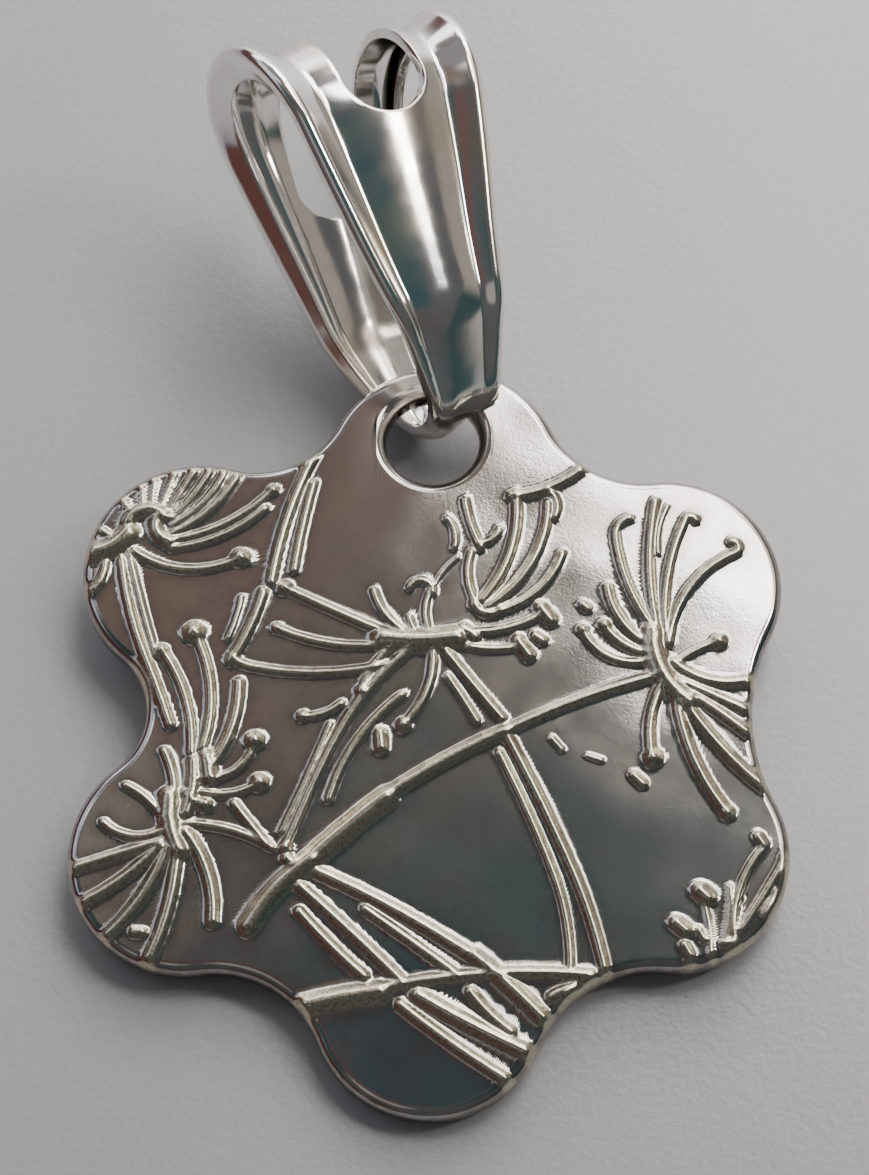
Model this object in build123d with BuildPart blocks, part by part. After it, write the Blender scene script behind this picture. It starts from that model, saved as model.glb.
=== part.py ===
# Flower pendant: a six-lobed cast silver plate with raised wildflower heads,
# hung on a corrugated bail that passes through the hole in its top lobe.
import os
from math import asin, cos, degrees, hypot, sin

from build123d import *

os.makedirs("parts", exist_ok=True)

# Flower plate, in millimetres
half_width = 12.5          # the tables of places and widths are shares of this
plate_thickness = 1.25
face_edge_round = 0.4
back_edge_round = 0.35
relief_height = 0.4
relief_margin = 0.42       # the relief stays this far inside the plate's outline

# Hole in the top lobe
hole_across = -0.25
hole_radius = 1.65
hole_edge_round = 0.45
hole_bridge = 1.2          # metal left between the hole and the lobe's tip

# Bail: a looped strap, narrow at its bend and wide at its top
bail_length = 14.8
bail_depth = 6.9
bail_bend_depth = 5.0
bail_straight_up = 5.0     # above this its two legs run side by side
strap_thickness = 0.9
bend_thickness = 0.62
bail_top_width = 9.3
bail_neck_width = 3.05
bail_neck_up = 2.0
bail_bend_width = 1.4
bail_flare_up = 0.9        # the bend keeps its width up to here, then flares to the neck
valley_share = 0.62        # share of the width that lies between its two valleys
valley_depth = 0.55        # below the lips along its sides
middle_drop = 0.12         # the rounded middle, below the lips
neck_valley_depth = 0.15
neck_middle_drop = 0.05
slot_width = 2.8
slot_front_reach = 3.4     # how far the slot runs down the front leg, from the top
slot_back_reach = 7.1

# Where the bail hangs: the lowest point of its bend, from the middle of the hole
bend_right = 0.26
bend_up = 0.37
bend_down = 0.345
bail_width_way = (0.864, 0.386, -0.325)    # the way from its left side to its right, over the face
bail_length_way = (-0.26, 0.892, 0.369)    # the way from its bend to its top

# How the pendant lies on the table
pitch = 3.51               # the top lobe is held up by the bail
roll = -0.23               # and the weight settles over the bottom lobe

# Lobes. Columns: across, up, radius, radius of the notch after it
lobes = [
    (0.010, 0.740, 0.340, 0.280),
    (0.635, 0.410, 0.315, 0.540),
    (0.620, -0.355, 0.320, 0.340),
    (-0.030, -0.755, 0.313, 0.300),
    (-0.680, -0.365, 0.320, 0.205),
    (-0.670, 0.450, 0.325, 0.250),
]

# Raised lines. Columns: path (start, through, end, then tangent arcs on), width, bead radius at its end
upper_left_head = [
    ([(-0.99, 0.500), (-0.93, 0.510), (-0.87, 0.560)], 0.080, 0),
    ([(-0.87, 0.595), (-0.82, 0.630), (-0.77, 0.610)], 0.056, 0),
    ([(-0.79, 0.605), (-0.790, 0.565), (-0.755, 0.535)], 0.056, 0),
    ([(-0.86, 0.620), (-0.880, 0.645), (-0.890, 0.680)], 0.030, 0),
    ([(-0.83, 0.640), (-0.835, 0.670), (-0.830, 0.740)], 0.026, 0),
    ([(-0.805, 0.640), (-0.805, 0.690), (-0.790, 0.760)], 0.027, 0),
    ([(-0.785, 0.630), (-0.765, 0.690), (-0.725, 0.780)], 0.028, 0),
    ([(-0.765, 0.620), (-0.725, 0.690), (-0.665, 0.790)], 0.030, 0),
    ([(-0.750, 0.605), (-0.695, 0.670), (-0.625, 0.800)], 0.031, 0),
    ([(-0.745, 0.585), (-0.670, 0.645), (-0.590, 0.800)], 0.032, 0),
    ([(-0.745, 0.560), (-0.645, 0.630), (-0.550, 0.790)], 0.035, 0),
    ([(-0.745, 0.540), (-0.610, 0.583), (-0.468, 0.690)], 0.034, 0.022),
    ([(-0.750, 0.515), (-0.615, 0.550), (-0.490, 0.635)], 0.033, 0),
    ([(-0.850, 0.505), (-0.700, 0.452), (-0.555, 0.487)], 0.036, 0.034),
    ([(-0.92, 0.550), (-0.950, 0.575), (-0.985, 0.625)], 0.034, 0),
    ([(-0.93, 0.475), (-0.945, 0.415), (-0.990, 0.365)], 0.036, 0),
    ([(-0.885, 0.480), (-0.855, 0.330), (-0.807, 0.190), (-0.735, 0.000)], 0.040, 0),
    ([(-0.865, 0.500), (-0.822, 0.340), (-0.780, 0.200)], 0.030, 0),
]

long_stems = [
    ([(-0.300, 0.900), (-0.408, 0.665), (-0.468, 0.415)], 0.044, 0),
    ([(-0.355, 0.710), (-0.382, 0.590), (-0.405, 0.450)], 0.035, 0),
    ([(-0.490, 0.385), (-0.522, 0.290), (-0.575, 0.185)], 0.043, 0),
    ([(-0.550, 0.370), (-0.563, 0.310), (-0.585, 0.250)], 0.026, 0),
    ([(-0.550, 0.120), (-0.560, 0.020), (-0.615, -0.110)], 0.044, 0),
]

centre_head = [
    ([(-0.160, 0.250), (-0.050, 0.243), (0.045, 0.252)], 0.084, 0),
    ([(-0.140, 0.262), (-0.290, 0.330), (-0.430, 0.397)], 0.036, 0.028),
    ([(-0.150, 0.232), (-0.310, 0.236), (-0.450, 0.280)], 0.032, 0.021),
    ([(-0.150, 0.172), (-0.360, 0.150), (-0.520, 0.168), (-0.575, 0.200)], 0.034, 0),
    ([(-0.130, 0.225), (-0.185, 0.165), (-0.214, 0.097)], 0.033, 0.026),
    ([(-0.270, 0.062), (-0.325, 0.030), (-0.375, 0.025)], 0.031, 0.022),
    ([(-0.020, 0.220), (-0.040, 0.090), (-0.100, 0.000)], 0.036, 0.027),
    ([(-0.163, -0.025), (-0.160, -0.065)], 0.050, 0),
    ([(-0.090, 0.265), (-0.155, 0.325), (-0.183, 0.388)], 0.034, 0),
    ([(-0.060, 0.260), (-0.076, 0.285), (-0.085, 0.310)], 0.029, 0),
    ([(-0.030, 0.270), (-0.041, 0.330), (-0.030, 0.380)], 0.029, 0),
    ([(-0.020, 0.385), (-0.050, 0.420), (-0.085, 0.400)], 0.031, 0),
    ([(-0.020, 0.395), (0.010, 0.448), (0.050, 0.490)], 0.019, 0),
    ([(0.063, 0.277), (0.097, 0.254)], 0.046, 0),
    ([(0.085, 0.268), (0.200, 0.283), (0.280, 0.320)], 0.032, 0),
    ([(0.278, 0.338), (0.304, 0.303)], 0.052, 0),
    ([(0.080, 0.225), (0.150, 0.218), (0.222, 0.226)], 0.031, 0),
    ([(0.214, 0.242), (0.243, 0.200)], 0.050, 0),
    ([(0.262, 0.256), (0.282, 0.243)], 0.040, 0),
]

centre_fan = [
    ([(0.105, 0.345), (0.078, 0.420), (0.088, 0.505)], 0.032, 0),
    ([(0.112, 0.520), (0.085, 0.590), (0.070, 0.658)], 0.036, 0),
    ([(0.105, 0.530), (0.140, 0.540), (0.165, 0.572)], 0.033, 0),
    ([(0.092, 0.350), (0.130, 0.322), (0.170, 0.332)], 0.037, 0),
    ([(0.115, 0.360), (0.190, 0.490), (0.213, 0.680)], 0.041, 0),
    ([(0.130, 0.340), (0.250, 0.465), (0.303, 0.650)], 0.039, 0),
    ([(0.165, 0.330), (0.280, 0.398), (0.340, 0.500)], 0.035, 0),
    ([(0.200, 0.672), (0.300, 0.695), (0.425, 0.780)], 0.042, 0),
    ([(0.300, 0.690), (0.325, 0.660), (0.320, 0.610)], 0.034, 0),
    ([(0.020, 0.605), (0.040, 0.570), (0.040, 0.520)], 0.028, 0),
]

second_stem = [
    ([(-0.085, 0.215), (-0.205, 0.090), (-0.275, -0.020), (-0.345, -0.170), (-0.415, -0.345)], 0.040, 0.026),
    ([(-0.300, 0.000), (-0.360, -0.150), (-0.425, -0.300)], 0.029, 0),
    ([(-0.105, 0.085), (-0.215, -0.030), (-0.300, -0.210)], 0.034, 0),
    ([(-0.410, -0.375), (-0.386, -0.397)], 0.046, 0),
]

slanting_stem = [
    ([(-0.510, -0.560), (-0.435, -0.455), (-0.345, -0.380)], 0.070, 0),
    ([(-0.370, -0.402), (-0.250, -0.292), (-0.145, -0.205)], 0.080, 0),
    ([(-0.165, -0.215), (0.000, -0.108), (0.180, -0.017)], 0.052, 0),
    ([(0.160, -0.027), (0.370, 0.068), (0.600, 0.143)], 0.043, 0),
]

long_lower_stem = [
    ([(0.005, 0.225), (0.090, 0.115), (0.168, 0.018)], 0.038, 0),
    ([(0.020, 0.140), (0.060, 0.078), (0.100, 0.010)], 0.028, 0),
    ([(0.178, -0.025), (0.270, -0.215), (0.350, -0.400), (0.435, -0.690)], 0.042, 0),
    ([(0.160, -0.080), (0.235, -0.245), (0.300, -0.410), (0.342, -0.670)], 0.033, 0),
]

bottom_stems = [
    ([(-0.330, -0.410), (-0.110, -0.520), (0.110, -0.657)], 0.046, 0),
    ([(0.090, -0.638), (0.185, -0.722), (0.300, -0.840)], 0.056, 0),
    ([(-0.200, -0.513), (-0.075, -0.602), (0.045, -0.690)], 0.037, 0),
    ([(0.078, -0.735), (0.125, -0.790), (0.185, -0.842)], 0.042, 0),
    ([(-0.375, -0.450), (-0.228, -0.585), (-0.105, -0.705)], 0.044, 0),
    ([(-0.060, -0.745), (0.090, -0.828), (0.260, -0.910)], 0.058, 0),
    ([(-0.375, -0.520), (-0.290, -0.612), (-0.200, -0.695)], 0.042, 0),
    ([(-0.105, -0.770), (0.020, -0.865), (0.170, -0.965)], 0.043, 0),
    ([(0.295, -0.748), (0.320, -0.736), (0.370, -0.722)], 0.045, 0),
    ([(-0.400, -0.785), (-0.280, -0.757), (-0.160, -0.738)], 0.080, 0),
    ([(-0.200, -0.738), (0.100, -0.690), (0.400, -0.692)], 0.047, 0),
]

lower_left_head = [
    ([(-0.730, -0.205), (-0.725, -0.280), (-0.700, -0.350)], 0.078, 0),
    ([(-0.668, -0.105), (-0.668, -0.170), (-0.685, -0.250)], 0.052, 0),
    ([(-0.748, -0.075), (-0.723, -0.145), (-0.718, -0.230)], 0.037, 0),
    ([(-0.848, -0.172), (-0.795, -0.206), (-0.745, -0.262)], 0.032, 0.022),
    ([(-0.905, -0.275), (-0.835, -0.312), (-0.740, -0.295)], 0.034, 0),
    ([(-1.005, -0.412), (-0.880, -0.370), (-0.750, -0.330)], 0.043, 0),
    ([(-0.990, -0.515), (-0.850, -0.432), (-0.750, -0.340)], 0.045, 0),
    ([(-0.905, -0.605), (-0.795, -0.478), (-0.735, -0.350)], 0.046, 0),
    ([(-0.790, -0.690), (-0.727, -0.520), (-0.705, -0.350)], 0.047, 0),
    ([(-0.685, -0.300), (-0.617, -0.430), (-0.605, -0.545)], 0.049, 0),
    ([(-0.710, -0.280), (-0.570, -0.293), (-0.450, -0.345)], 0.031, 0),
    ([(-0.555, -0.222), (-0.512, -0.278), (-0.465, -0.335)], 0.034, 0),
    ([(-0.690, -0.190), (-0.665, -0.212), (-0.632, -0.225)], 0.040, 0.026),
    ([(-0.645, -0.065), (-0.628, 0.110), (-0.677, 0.265)], 0.038, 0.040),
    ([(-0.675, -0.080), (-0.703, 0.100), (-0.765, 0.215)], 0.037, 0.024),
    ([(-0.632, -0.095), (-0.622, -0.150)], 0.064, 0),
    ([(-0.650, -0.150), (-0.552, -0.128), (-0.504, -0.045)], 0.030, 0.034),
    ([(-0.640, -0.190), (-0.550, -0.192), (-0.488, -0.163)], 0.030, 0.031),
    ([(-0.810, -0.575), (-0.790, -0.575)], 0.040, 0),
]

right_head = [
    ([(0.585, 0.265), (0.600, 0.170), (0.675, 0.070)], 0.084, 0),
    ([(0.575, 0.230), (0.500, 0.300), (0.463, 0.398)], 0.041, 0),
    ([(0.590, 0.275), (0.520, 0.410), (0.490, 0.550), (0.530, 0.605)], 0.036, 0),
    ([(0.603, 0.255), (0.582, 0.460), (0.603, 0.655)], 0.038, 0),
    ([(0.625, 0.230), (0.637, 0.460), (0.685, 0.600), (0.715, 0.600)], 0.035, 0),
    ([(0.607, 0.500), (0.613, 0.580), (0.637, 0.640)], 0.022, 0),
    ([(0.630, 0.240), (0.715, 0.425), (0.820, 0.500), (0.812, 0.535)], 0.036, 0),
    ([(0.645, 0.175), (0.715, 0.220), (0.767, 0.240)], 0.031, 0.028),
    ([(0.640, 0.180), (0.750, 0.124), (0.858, 0.132)], 0.044, 0),
    ([(0.650, 0.130), (0.760, 0.078), (0.870, 0.025)], 0.040, 0),
    ([(0.690, 0.085), (0.785, 0.018), (0.900, -0.085)], 0.041, 0),
    ([(0.660, 0.080), (0.760, -0.062), (0.895, -0.195)], 0.045, 0.024),
    ([(0.645, 0.080), (0.690, -0.105), (0.772, -0.248)], 0.046, 0.026),
    ([(0.610, 0.120), (0.572, 0.010), (0.575, -0.095)], 0.040, 0.034),
    ([(0.522, -0.143), (0.548, -0.168)], 0.048, 0),
    ([(0.570, 0.185), (0.450, 0.205), (0.393, 0.275)], 0.031, 0.021),
    ([(0.580, 0.205), (0.500, 0.237), (0.453, 0.288)], 0.037, 0.024),
    ([(0.394, 0.348), (0.407, 0.337)], 0.036, 0),
    ([(0.303, -0.038), (0.330, -0.070)], 0.034, 0),
    ([(0.400, -0.088), (0.436, -0.100)], 0.032, 0),
]

corner_head = [
    ([(0.690, -0.462), (0.710, -0.482)], 0.060, 0),
    ([(0.625, -0.550), (0.650, -0.572)], 0.052, 0),
    ([(0.685, -0.570), (0.698, -0.595)], 0.032, 0),
    ([(0.645, -0.610), (0.660, -0.637)], 0.036, 0),
    ([(0.750, -0.605), (0.770, -0.602)], 0.036, 0),
    ([(0.852, -0.315), (0.866, -0.337)], 0.040, 0),
    ([(0.930, -0.343), (0.917, -0.368)], 0.034, 0),
    ([(0.702, -0.500), (0.713, -0.570), (0.707, -0.690)], 0.026, 0),
    ([(0.772, -0.455), (0.770, -0.520), (0.757, -0.590)], 0.030, 0),
    ([(0.862, -0.350), (0.800, -0.450), (0.785, -0.640)], 0.034, 0),
    ([(0.922, -0.370), (0.870, -0.460), (0.795, -0.570)], 0.036, 0),
    ([(0.925, -0.430), (0.897, -0.475), (0.862, -0.525)], 0.037, 0),
]

relief = (
    upper_left_head + long_stems + centre_head + centre_fan + second_stem + slanting_stem
    + long_lower_stem + bottom_stems + lower_left_head + right_head + corner_head
)


def face_point(share):
    """A place on the flower's face from its shares of the half width."""
    return Vector(share[0] * half_width, share[1] * half_width, 0)


def outline_arcs():
    """The outline as (start, middle, end) arcs: a lobe, then the notch after it."""
    circles = [(x * half_width, y * half_width, r * half_width) for x, y, r, notch in lobes]
    notches = []
    for i, (x1, y1, r1) in enumerate(circles):
        x2, y2, r2 = circles[(i + 1) % len(circles)]
        fill = lobes[i][3] * half_width
        apart = hypot(x2 - x1, y2 - y1)
        along = ((r1 + fill) ** 2 - (r2 + fill) ** 2 + apart ** 2) / (2 * apart)
        out = ((r1 + fill) ** 2 - along ** 2) ** 0.5
        ex, ey = (x2 - x1) / apart, (y2 - y1) / apart
        notches.append((x1 + ex * along - ey * out, y1 + ey * along + ex * out, fill))
    arcs = []
    for i, (x, y, r) in enumerate(circles):
        touch = []
        for nx, ny, nr in (notches[i - 1], notches[i]):
            reach = r / (r + nr)
            touch.append(Vector(x + (nx - x) * reach, y + (ny - y) * reach))
        tip = Vector(x, y) + Vector(x, y).normalized() * r
        arcs.append((touch[0], tip, touch[1]))
        x2, y2, r2 = circles[(i + 1) % len(circles)]
        nx, ny, nr = notches[i]
        next_touch = Vector(x2 + (nx - x2) * r2 / (r2 + nr), y2 + (ny - y2) * r2 / (r2 + nr))
        dip = Vector(nx, ny) - Vector(nx, ny).normalized() * nr
        arcs.append((touch[1], dip, next_touch))
    return arcs


def spine_of(path):
    """The middle line of a raised line, as one smooth wire on the face."""
    points = [face_point(share) for share in path]
    with BuildLine() as spine:
        arc = Line(*points) if len(points) == 2 else ThreePointArc(*points[:3])
        for point in points[3:]:
            arc = TangentArc(arc @ 1, point, tangent=arc % 1)
    return spine.wire()


def relief_faces():
    """Every raised line as a round-ended band, with its bead where it has one."""
    faces = []
    for path, width, bead in relief:
        faces.append(SlotArc(spine_of(path), width * half_width, mode=Mode.PRIVATE))
        if bead:
            button = Circle(bead * half_width, mode=Mode.PRIVATE)
            faces.append(Pos(*face_point(path[-1])) * button)
    return faces


with BuildSketch() as outline:
    with BuildLine():
        for start, middle, end in outline_arcs():
            ThreePointArc(start, middle, end)
    make_face()

with BuildSketch() as raised:
    add(relief_faces())
    add(offset(outline.sketch, amount=-relief_margin, mode=Mode.PRIVATE), mode=Mode.INTERSECT)

# The plate: rounded rims, the relief standing on its face, and a hole with worn edges
top_lobe = lobes[0]
hole_up = (top_lobe[1] + top_lobe[2]) * half_width - hole_bridge - hole_radius
hole_place = Plane(origin=(hole_across, hole_up, 0), x_dir=(1, 0, 0), z_dir=(0, -1, 0))
hole_mouth = hole_radius + hole_edge_round

with BuildPart() as flower:
    add(outline.sketch)
    extrude(amount=-plate_thickness)
    fillet(flower.edges().group_by(Axis.Z)[-1], face_edge_round)
    fillet(flower.edges().group_by(Axis.Z)[0], back_edge_round)
    extrude(raised.sketch, amount=relief_height)
    with BuildSketch(hole_place):
        with BuildLine():
            back = -plate_thickness
            Polyline((0, back), (0, relief_height), (hole_mouth, relief_height), (hole_mouth, 0))
            CenterArc((hole_mouth, -hole_edge_round), hole_edge_round, 90, 90)
            Line((hole_radius, -hole_edge_round), (hole_radius, back + hole_edge_round))
            CenterArc((hole_mouth, back + hole_edge_round), hole_edge_round, 180, 90)
            Line((hole_mouth, back), (0, back))
        make_face()
    revolve(axis=Axis(hole_place.origin, (0, 0, 1)), mode=Mode.SUBTRACT)


bend = bail_bend_depth / 2
crown = bail_depth / 2
crown_up = bail_length - crown
leg_lean = asin((crown - bend) / (bail_straight_up - bend))
leg_top = bail_straight_up - crown * sin(leg_lean)     # where the leaning legs turn upright


def side_view(bend_radius, crown_radius):
    """The loop seen from its side: a round bend, leaning legs that turn upright, a round crown."""
    turn = degrees(asin((crown_radius - bend_radius) / (bail_straight_up - bend)))
    with BuildSketch(Plane.YZ) as view:
        with BuildLine():
            CenterArc((0, crown_up), crown_radius, 0, 180)
            Line((-crown_radius, crown_up), (-crown_radius, bail_straight_up))
            left = CenterArc((0, bail_straight_up), crown_radius, 180, turn)
            under = CenterArc((0, bend), bend_radius, 180 + turn, 180 - 2 * turn)
            right = CenterArc((0, bail_straight_up), crown_radius, 360 - turn, turn)
            Line(left @ 1, under @ 0)
            Line(under @ 1, right @ 0)
            Line((crown_radius, bail_straight_up), (crown_radius, crown_up))
        make_face()
    return view.sketch


def leg_reach(up):
    """How far the leaning leg's face stands from the bail's middle plane, at a height."""
    return (bend + (up - bend) * sin(leg_lean)) / cos(leg_lean)


def width_at(up):
    """The bail's width above its neck, at a height."""
    share = (up - bail_neck_up) / (bail_length - bail_neck_up)
    return bail_neck_width + (bail_top_width - bail_neck_width) * share


def strap_section(up, width, reach, depth, drop):
    """The strap's outline at a height: a valley each side of its round middle, front and back."""
    side = width / 2
    valley = side * valley_share
    with BuildSketch(Plane.XY.offset(up)) as section:
        with BuildLine():
            for way in (-1, 1):
                bottom = way * (reach - depth)
                Line((-side, way * reach), (-valley, bottom))
                ThreePointArc((-valley, bottom), (0, way * (reach - drop)), (valley, bottom))
                Line((valley, bottom), (side, way * reach))
                Line((way * side, -reach), (way * side, reach))
        make_face()
    return section.sketch


# The bail, standing on its bend: the corrugated outline, cut to a ring by its side view, its
# valleys carried over the crown, then slotted
neck_form = (neck_valley_depth, neck_middle_drop)
leg_form = (valley_depth, middle_drop)
top_side = bail_top_width / 2
top_valley = top_side * valley_share
with BuildPart() as bail:
    add(strap_section(0, bail_bend_width, bend, *neck_form))
    add(strap_section(bail_flare_up, bail_bend_width, bend, *neck_form))
    add(strap_section(bail_neck_up, bail_neck_width, leg_reach(bail_neck_up), *neck_form))
    add(strap_section(leg_top, width_at(leg_top), leg_reach(leg_top), *leg_form))
    add(strap_section(bail_straight_up, width_at(bail_straight_up), crown, *leg_form))
    add(strap_section(bail_length, bail_top_width, crown, *leg_form))
    loft(ruled=True)
    extrude(side_view(bend, crown), amount=bail_top_width, both=True, mode=Mode.INTERSECT)
    hollow = side_view(bend - bend_thickness, crown - strap_thickness)
    extrude(hollow, amount=bail_top_width, both=True, mode=Mode.SUBTRACT)
    with BuildSketch(Plane.XZ):
        with BuildLine():
            valley_bottom = bail_length - valley_depth
            middle = (0, bail_length - middle_drop)
            Line((-top_side, bail_length), (-top_valley, valley_bottom))
            ThreePointArc((-top_valley, valley_bottom), middle, (top_valley, valley_bottom))
            Line((top_valley, valley_bottom), (top_side, bail_length))
            Line((top_side, bail_length), (-top_side, bail_length))
        make_face()
    extrude(amount=bail_depth, both=True, mode=Mode.SUBTRACT)
    for way, reach in ((1, slot_front_reach), (-1, slot_back_reach)):
        with BuildSketch(Plane.XZ):
            with Locations((0, bail_length)):
                SlotOverall(2 * reach, slot_width, rotation=90)
        extrude(amount=way * bail_depth, mode=Mode.SUBTRACT)

# Hang the bail in the hole, lean both as they lie, and stand them on the table about their middle
bend_place = (hole_across + bend_right, hole_up + bend_up, -plate_thickness / 2 - bend_down)
hung = Plane(origin=bend_place, x_dir=bail_width_way, z_dir=bail_length_way).location
lean = Rotation(pitch, roll, 0)
flower.part.move(lean)
bail.part.move(lean * hung)
box = flower.part.bounding_box().add(bail.part.bounding_box())
stand = Pos(-box.center().X, -box.center().Y, -box.min.Z)
flower.part.move(stand)
bail.part.move(stand)

flower.part.label = "flower"
bail.part.label = "bail"
export_step(flower.part, "parts/flower.step")
export_step(bail.part, "parts/bail.step")
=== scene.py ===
from math import asin, atan2, cos, pi, radians, sin, sqrt

import bmesh
import bpy
import numpy as np
from mathutils import Matrix, Vector


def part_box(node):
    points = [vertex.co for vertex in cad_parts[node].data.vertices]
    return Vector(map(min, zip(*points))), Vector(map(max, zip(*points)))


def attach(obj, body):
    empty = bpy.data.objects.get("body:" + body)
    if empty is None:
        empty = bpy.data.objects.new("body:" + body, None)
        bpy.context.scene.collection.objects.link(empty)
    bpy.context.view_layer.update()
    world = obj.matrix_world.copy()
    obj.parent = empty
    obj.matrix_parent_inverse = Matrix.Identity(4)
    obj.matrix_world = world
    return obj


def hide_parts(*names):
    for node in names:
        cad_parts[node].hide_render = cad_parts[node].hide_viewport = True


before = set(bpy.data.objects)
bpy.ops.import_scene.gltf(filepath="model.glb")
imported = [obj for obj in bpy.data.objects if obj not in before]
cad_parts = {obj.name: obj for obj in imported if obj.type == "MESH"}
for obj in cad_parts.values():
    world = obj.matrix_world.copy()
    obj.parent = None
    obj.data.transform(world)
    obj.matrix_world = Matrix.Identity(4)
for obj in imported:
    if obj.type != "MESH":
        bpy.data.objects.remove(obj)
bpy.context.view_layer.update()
mm = 0.001
slack = 0.001                   # shares this near each other count as equal

# How the flower's face lies on the table, as two small turns in degrees
lying = {"pitch": 3.51, "roll": -0.23}

# The flower plate. Places and widths in the tables are shares of halfWidth
plate = {
    "halfWidth": 12.5 * mm,
    "thickness": 1.25 * mm,
    "faceEdge": 0.4 * mm,
    "backEdge": 0.35 * mm,
    "cells": 286,               # squares across the face
    "edgeSteps": 4,             # rings round each worn edge
    "backMargin": 0.15 * mm,    # a flat band that keeps the edge's shading off the back
    # lobes: across, up, radius, radius of the notch after it
    "lobes": [
        (0.010, 0.740, 0.340, 0.280),
        (0.635, 0.410, 0.315, 0.540),
        (0.620, -0.355, 0.320, 0.340),
        (-0.030, -0.755, 0.313, 0.300),
        (-0.680, -0.365, 0.320, 0.205),
        (-0.670, 0.450, 0.325, 0.250),
    ],
}

# The hole that the bail hangs in
hole = {
    "across": -0.25 * mm,
    "up": 10.65 * mm,
    "radius": 1.65 * mm,
    "edge": 0.45 * mm,
    "cellsAcross": 25,          # half sides of the block of cells that it takes out
    "cellsUp": 20,
    "fade": 0.3,                # how far round it the cells lean, as a share of the block
    "catch": 1.05,              # open edges within this share of its mouth are the hole's
}
holeMouth = hole["radius"] + hole["edge"]

# How the raised lines stand on the face
casting = {
    "steps": 20,                # points along each arc
    "rise": 0.33,               # height as a share of a line's width
    "lowest": 0.07 * mm,
    "highest": 0.31 * mm,
    "slim": 1.06,               # a line's foot, as a share of its width in the tables
    "shoulder": 1.9,            # 0.5 is a half round line, more is softer at its foot
    "merging": 4,               # crossing lines add up by this power, more keeps nearer to the taller
    "wobble": 0.012 * mm,       # how far a line's sides wander
    "wobbleLength": 0.9 * mm,
    "wobbleStray": ((1.7, 0.6), (1.3, 0.7)),    # how far and at what pace that strays, across and up
    "tarnishAndShadeStart": 0.7,        # where the tarnish and painted shade beside a line start, as a share of half its width
    "tarnishAndShadeReach": 0.20 * mm,  # they fade to about a third over this, and past the end below there is none
    "tarnishAndShadeEnd": 0.60 * mm,
    "crowding": 6.0,            # how much closer the cells stand at a line
    "crowdRounds": 4,
    "crowdSteps": 24,
    "softness": 0.065 * mm,     # how far round a spot its height, look and slope are gathered
    "softSpots": 8,
    # the face's slow waviness: height, length, way in degrees
    "waves": [
        (0.010 * mm, 9.0 * mm, 20),
        (0.007 * mm, 6.5 * mm, 115),
        (0.003 * mm, 3.1 * mm, 60),
        (0.0025 * mm, 2.3 * mm, 150),
    ],
    "waveStray": (1.3, 2.2),
}

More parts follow.
